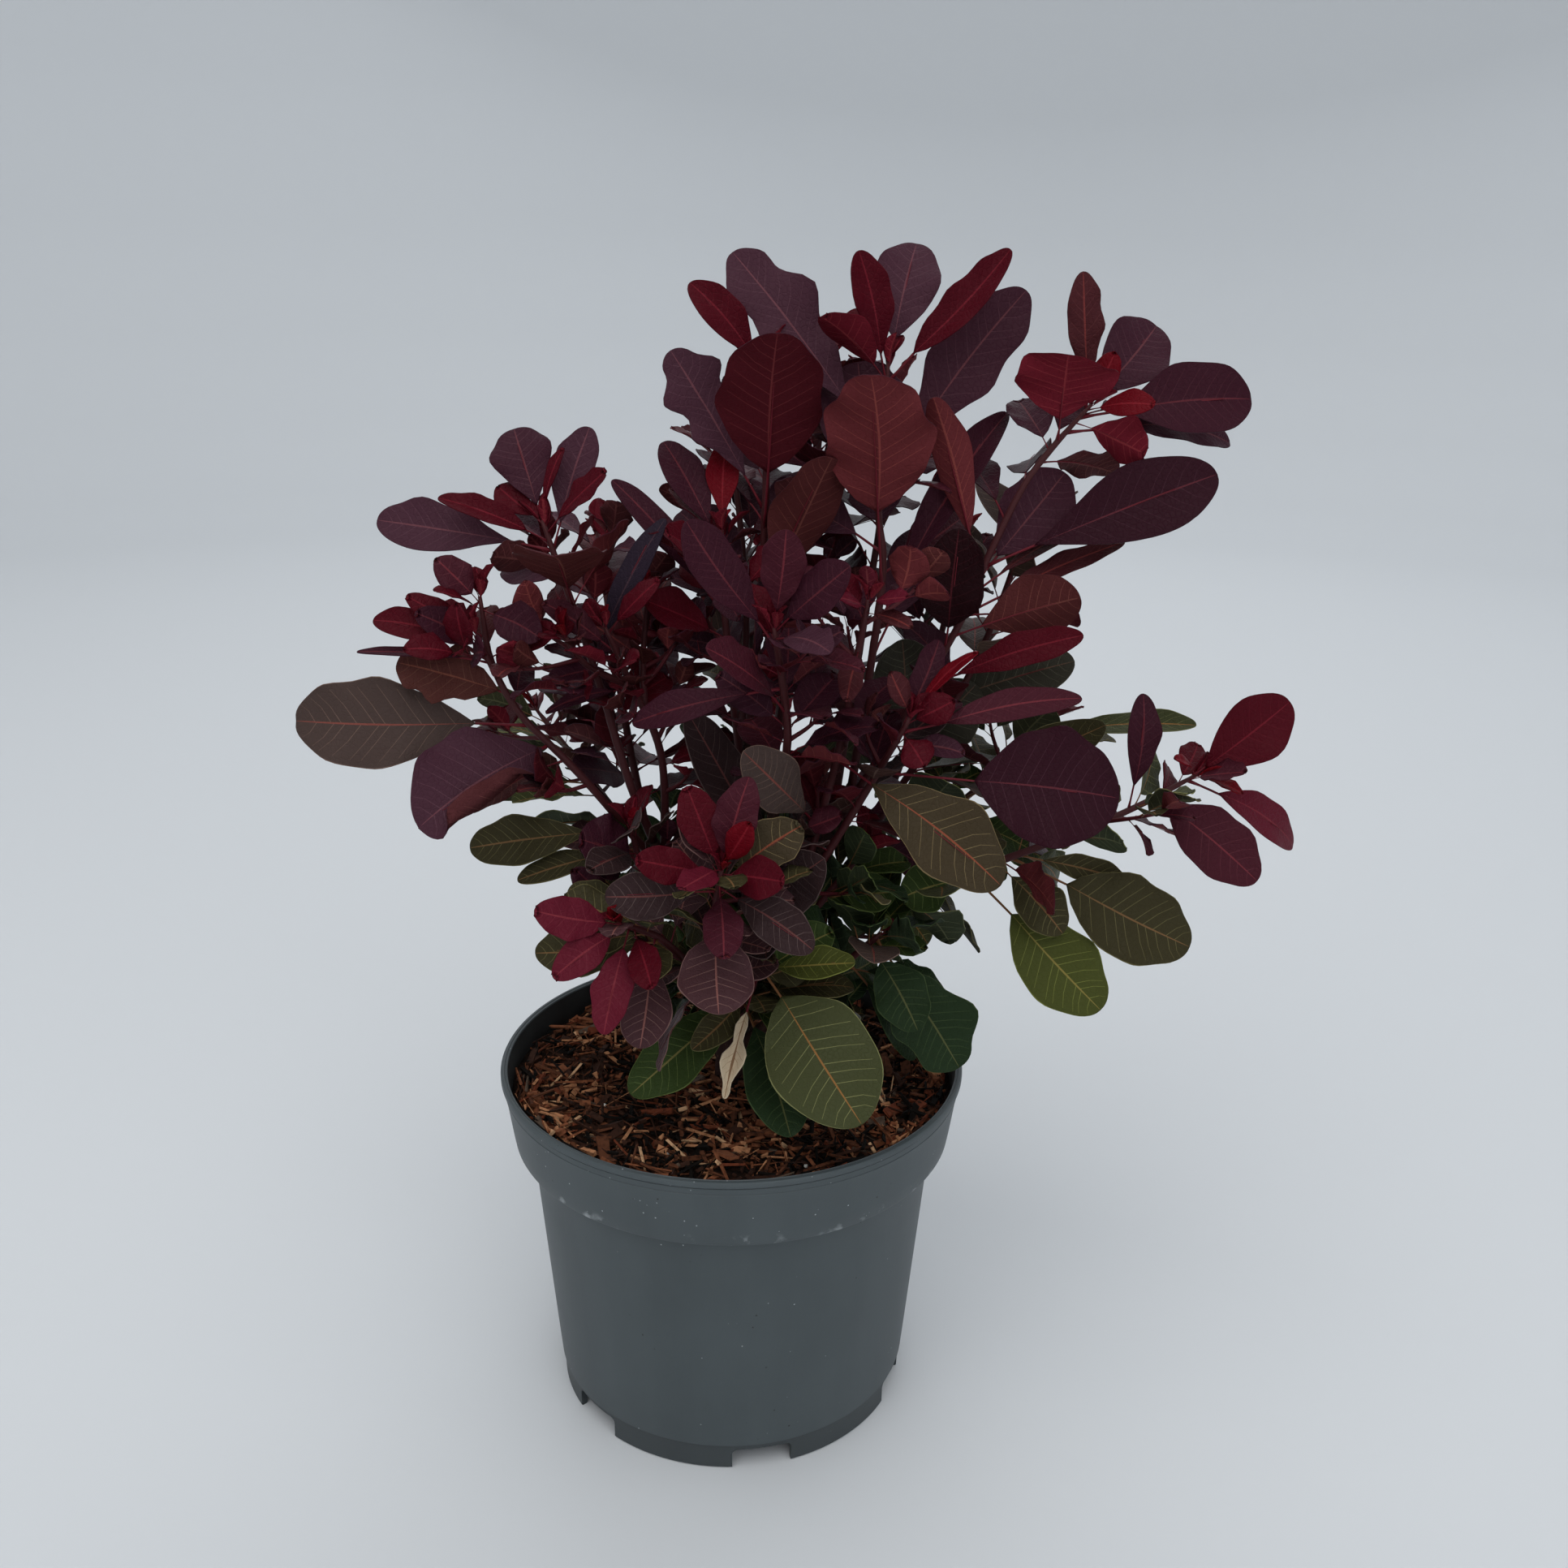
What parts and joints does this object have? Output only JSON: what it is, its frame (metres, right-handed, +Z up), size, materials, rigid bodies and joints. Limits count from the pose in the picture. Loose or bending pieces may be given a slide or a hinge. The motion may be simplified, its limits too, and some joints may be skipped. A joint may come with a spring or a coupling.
{
  "type": "potted smoke bush",
  "caption": "Bushy potted shrub with dark purple, crimson and green oval leaves on branching stems, growing from mulch in a round nursery pot that stands on its flat underside.",
  "frame": {"origin": "middle of the pot's underside, at the flat central pad that touches the ground", "axes": "+Z up along the pot's axis, -Y towards the front of the plant as pictured, +X to the right of that view"},
  "size_m": [0.39, 0.2519, 0.467],
  "materials": {
    "pot": "satin, moulded",
    "mulch": "rough bark chips",
    "bark": "matte young bark",
    "foliage": "matte leaves"
  },
  "bodies": {
    "root": {"pot": "pot", "mulch": "mulch", "main_stem": "bark", "bough_right": "bark", "bough_centre": "bark", "bough_top": "bark", "bough_topLeft": "bark", "bough_middle": "bark", "bough_left": "bark", "bough_front": "bark", "bough_lowRight": "bark", "bough_back": "bark", "bough_backLeft": "bark", "bough_backRight": "bark", "bough_lowBack": "bark", "foliage_top_centre": "foliage", "foliage_top_left": "foliage", "foliage_inner_left": "foliage", "foliage_upper_right": "foliage", "foliage_mid_right": "foliage", "foliage_pink": "foliage", "foliage_centre": "foliage", "foliage_left_upper": "foliage", "foliage_left_mid": "foliage", "foliage_left_inner": "foliage", "foliage_front_rosette": "foliage", "foliage_front_left": "foliage", "foliage_low_front": "foliage", "foliage_low_right": "foliage", "foliage_right": "foliage", "foliage_inner_right": "foliage", "foliage_low_left": "foliage", "foliage_inner_front": "foliage", "foliage_inner_low": "foliage", "foliage_behind_top": "foliage", "foliage_behind_left": "foliage", "foliage_behind_right": "foliage", "foliage_back_top": "foliage", "foliage_back_middle": "foliage", "foliage_back_left_upper": "foliage", "foliage_back_left_low": "foliage", "foliage_back_right_upper": "foliage", "foliage_back_right_low": "foliage", "foliage_low_back": "foliage"}
  },
  "joints": []
}
